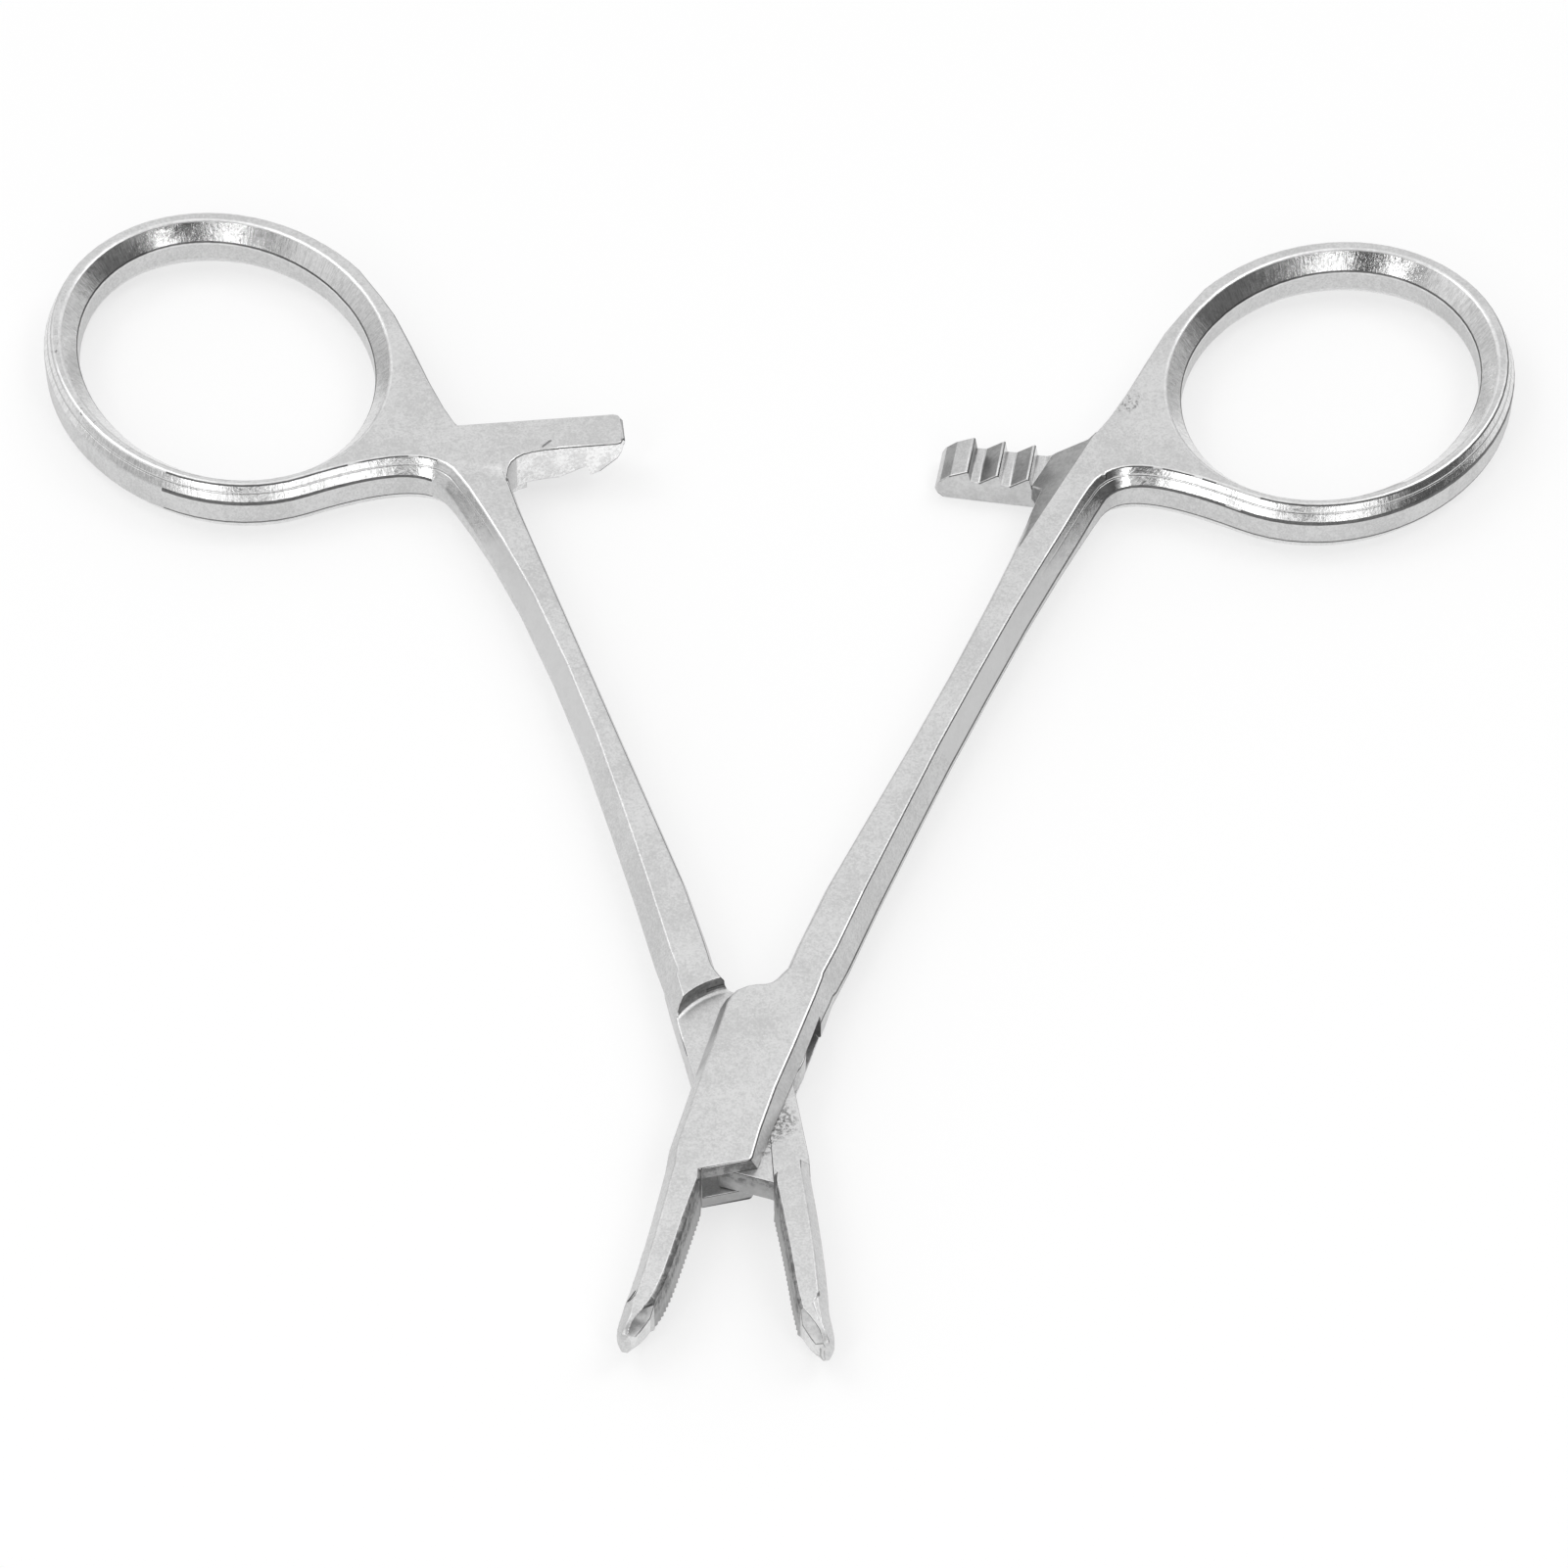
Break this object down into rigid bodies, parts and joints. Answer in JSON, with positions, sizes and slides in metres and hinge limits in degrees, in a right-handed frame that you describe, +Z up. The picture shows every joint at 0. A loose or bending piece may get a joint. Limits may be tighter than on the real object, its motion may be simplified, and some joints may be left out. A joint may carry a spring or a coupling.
{
  "type": "hemostat forceps",
  "caption": "Short straight box-lock hemostat forceps with oval finger rings, toothed ratchet arms and cross-serrated jaws, lying open on its side.",
  "frame": {"origin": "middle of the bounding box at the height of the face it lies on, jaws open as pictured", "axes": "+Z up out of the flat the instrument lies on and along the pivot pin, -Y from the pivot towards the jaw tips, +X from the tongued half's finger ring towards the slotted half's"},
  "size_m": [0.121, 0.117, 0.0046],
  "materials": {
    "forged_steel": "satin flats, polished bevels and rings with cross grinding marks",
    "pin_steel": "satin, ground flush with the cheeks"
  },
  "bodies": {
    "slotted_body": {"female_half": "forged_steel", "pivot_pin": "pin_steel"},
    "tongued_body": {"male_half": "forged_steel"}
  },
  "joints": [
    {"name": "jaw_pivot", "type": "hinge", "parent": "slotted_body", "child": "tongued_body", "pos_m": [0.00007, -0.0313, 0.0023], "axis": [0, 0, 1], "range_deg": [-22.6, 10]}
  ]
}
